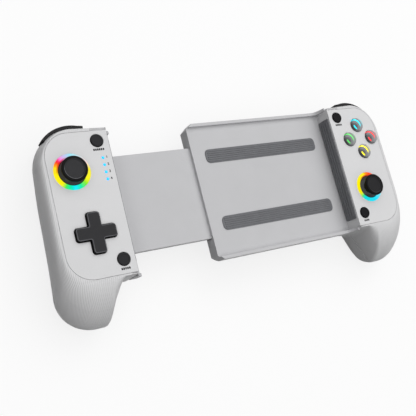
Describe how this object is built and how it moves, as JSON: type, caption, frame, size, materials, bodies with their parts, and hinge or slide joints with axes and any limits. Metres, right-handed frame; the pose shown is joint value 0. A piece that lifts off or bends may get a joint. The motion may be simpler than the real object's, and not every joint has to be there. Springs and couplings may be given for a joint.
{
  "type": "telescopic mobile game controller",
  "caption": "Stretching handheld game controller: two ribbed grips with sticks, lit rings, buttons, bumpers and triggers, joined by a sliding cradle that clamps a handset.",
  "frame": {"origin": "under the middle of the controller's box, on the table it lies on", "axes": "+X along the length from the left grip to the right, +Y up the face towards the bumpers, +Z out of the face"},
  "size_m": [0.2492, 0.1164, 0.0421],
  "materials": {
    "shell": "satin light grey, finely ribbed",
    "cradle": "satin light grey",
    "panel": "satin light grey",
    "soft_pad": "soft matte",
    "black_control": "matte",
    "gloss_black": "gloss",
    "light_ring": "lit rainbow diffuser",
    "player_light": "lit diffuser",
    "smoke_cyan": "smoky clear, lit cyan",
    "smoke_red": "smoky clear, lit red",
    "smoke_yellow": "smoky clear, lit yellow",
    "smoke_green": "smoky clear, lit green",
    "steel": "plain",
    "inner_black": "moulded",
    "board": "solder mask",
    "membrane": "matte",
    "battery": "wrapped",
    "ribbon": "polyimide film"
  },
  "bodies": {
    "right_half": {"cradle_tray": "cradle", "cradle_cover": "cradle", "tray_pads": "soft_pad", "cradle_screws": "steel", "slide_springs": "steel", "ribbon_cable": "ribbon", "right_front_panel": "panel", "right_front_shell": "shell", "right_rear_shell": "shell", "right_end_pad": "soft_pad", "right_light_ring": "light_ring", "right_stick_base": "inner_black", "right_circuit_board": "board", "right_membrane": "membrane", "right_shoulder_bracket": "inner_black", "right_bumper_pin": "steel", "right_trigger_pin": "steel", "right_trigger_spring": "steel", "right_case_screws": "steel", "battery": "battery", "charge_socket": "steel"},
    "left_half": {"slide_plate": "cradle", "left_front_panel": "panel", "left_front_shell": "shell", "left_rear_shell": "shell", "left_end_pad": "soft_pad", "left_light_ring": "light_ring", "left_stick_base": "inner_black", "left_circuit_board": "board", "left_membrane": "membrane", "cross_base": "inner_black", "player_lights": "player_light", "left_shoulder_bracket": "inner_black", "left_bumper_pin": "steel", "left_trigger_pin": "steel", "left_trigger_spring": "steel", "left_case_screws": "steel"},
    "right_yoke": {"right_stick_yoke": "steel"},
    "right_stem": {"right_stick_stem": "steel"},
    "right_stick": {"right_stick_cap": "black_control"},
    "left_yoke": {"left_stick_yoke": "steel"},
    "left_stem": {"left_stick_stem": "steel"},
    "left_stick": {"left_stick_cap": "black_control"},
    "cross_ring": {"cross_rocker": "steel"},
    "cross": {"cross_pad": "black_control"},
    "north_button": {"face_button_north": "smoke_cyan"},
    "east_button": {"face_button_east": "smoke_red"},
    "south_button": {"face_button_south": "smoke_yellow"},
    "west_button": {"face_button_west": "smoke_green"},
    "start": {"start_button": "black_control"},
    "home": {"home_button": "black_control"},
    "select": {"select_button": "black_control"},
    "turbo": {"turbo_button": "black_control"},
    "right_shoulder": {"right_bumper": "gloss_black"},
    "left_shoulder": {"left_bumper": "gloss_black"},
    "right_pull": {"right_trigger": "gloss_black"},
    "left_pull": {"left_trigger": "gloss_black"}
  },
  "joints": [
    {"name": "stretch", "type": "slide", "parent": "right_half", "child": "left_half", "axis": [1, 0, 0], "range_m": [-0.008, 0.05], "deforming": ["slide_springs", "ribbon_cable"]},
    {"name": "right_stick_fore_aft", "type": "hinge", "parent": "right_half", "child": "right_yoke", "pos_m": [0.0984, -0.00805, 0.029], "axis": [1, 0, 0], "range_deg": [-15, 15], "stiffness_Nm_per_rad": 0.03},
    {"name": "right_stick_side", "type": "hinge", "parent": "right_yoke", "child": "right_stem", "pos_m": [0.0984, -0.00805, 0.029], "axis": [0, 1, 0], "range_deg": [-15, 15], "stiffness_Nm_per_rad": 0.03},
    {"name": "right_stick_click", "type": "slide", "parent": "right_stem", "child": "right_stick", "axis": [0, 0, -1], "range_m": [0, 0.0005], "stiffness_N_per_m": 900},
    {"name": "left_stick_fore_aft", "type": "hinge", "parent": "left_half", "child": "left_yoke", "pos_m": [-0.1056, 0.02735, 0.029], "axis": [1, 0, 0], "range_deg": [-15, 15], "stiffness_Nm_per_rad": 0.03},
    {"name": "left_stick_side", "type": "hinge", "parent": "left_yoke", "child": "left_stem", "pos_m": [-0.1056, 0.02735, 0.029], "axis": [0, 1, 0], "range_deg": [-15, 15], "stiffness_Nm_per_rad": 0.03},
    {"name": "left_stick_click", "type": "slide", "parent": "left_stem", "child": "left_stick", "axis": [0, 0, -1], "range_m": [0, 0.0005], "stiffness_N_per_m": 900},
    {"name": "cross_fore_aft", "type": "hinge", "parent": "left_half", "child": "cross_ring", "pos_m": [-0.1, -0.00835, 0.03], "axis": [1, 0, 0], "range_deg": [-3, 3], "stiffness_Nm_per_rad": 0.12},
    {"name": "cross_side", "type": "hinge", "parent": "cross_ring", "child": "cross", "pos_m": [-0.1, -0.00835, 0.03], "axis": [0, 1, 0], "range_deg": [-3, 3], "stiffness_Nm_per_rad": 0.12},
    {"name": "north_press", "type": "slide", "parent": "right_half", "child": "north_button", "axis": [0, 0, -1], "range_m": [0, 0.0012], "stiffness_N_per_m": 500},
    {"name": "east_press", "type": "slide", "parent": "right_half", "child": "east_button", "axis": [0, 0, -1], "range_m": [0, 0.0012], "stiffness_N_per_m": 500},
    {"name": "south_press", "type": "slide", "parent": "right_half", "child": "south_button", "axis": [0, 0, -1], "range_m": [0, 0.0012], "stiffness_N_per_m": 500},
    {"name": "west_press", "type": "slide", "parent": "right_half", "child": "west_button", "axis": [0, 0, -1], "range_m": [0, 0.0012], "stiffness_N_per_m": 500},
    {"name": "start_press", "type": "slide", "parent": "right_half", "child": "start", "axis": [0, 0, -1], "range_m": [0, 0.0006], "stiffness_N_per_m": 700},
    {"name": "home_press", "type": "slide", "parent": "right_half", "child": "home", "axis": [0, 0, -1], "range_m": [0, 0.0006], "stiffness_N_per_m": 700},
    {"name": "select_press", "type": "slide", "parent": "left_half", "child": "select", "axis": [0, 0, -1], "range_m": [0, 0.0006], "stiffness_N_per_m": 700},
    {"name": "turbo_press", "type": "slide", "parent": "left_half", "child": "turbo", "axis": [0, 0, -1], "range_m": [0, 0.0006], "stiffness_N_per_m": 700},
    {"name": "right_bumper_press", "type": "hinge", "parent": "right_half", "child": "right_shoulder", "pos_m": [0.0975, 0.04925, 0.0284], "axis": [0, 0, -1], "range_deg": [0, 2.5], "stiffness_Nm_per_rad": 1},
    {"name": "left_bumper_press", "type": "hinge", "parent": "left_half", "child": "left_shoulder", "pos_m": [-0.0975, 0.04925, 0.0284], "axis": [0, 0, 1], "range_deg": [0, 2.5], "stiffness_Nm_per_rad": 1},
    {"name": "right_trigger_pull", "type": "hinge", "parent": "right_half", "child": "right_pull", "pos_m": [0.10335, 0.04865, 0.0185], "axis": [-1, 0, 0], "range_deg": [0, 14], "stiffness_Nm_per_rad": 0.15},
    {"name": "left_trigger_pull", "type": "hinge", "parent": "left_half", "child": "left_pull", "pos_m": [-0.10335, 0.04865, 0.0185], "axis": [-1, 0, 0], "range_deg": [0, 14], "stiffness_Nm_per_rad": 0.15}
  ]
}
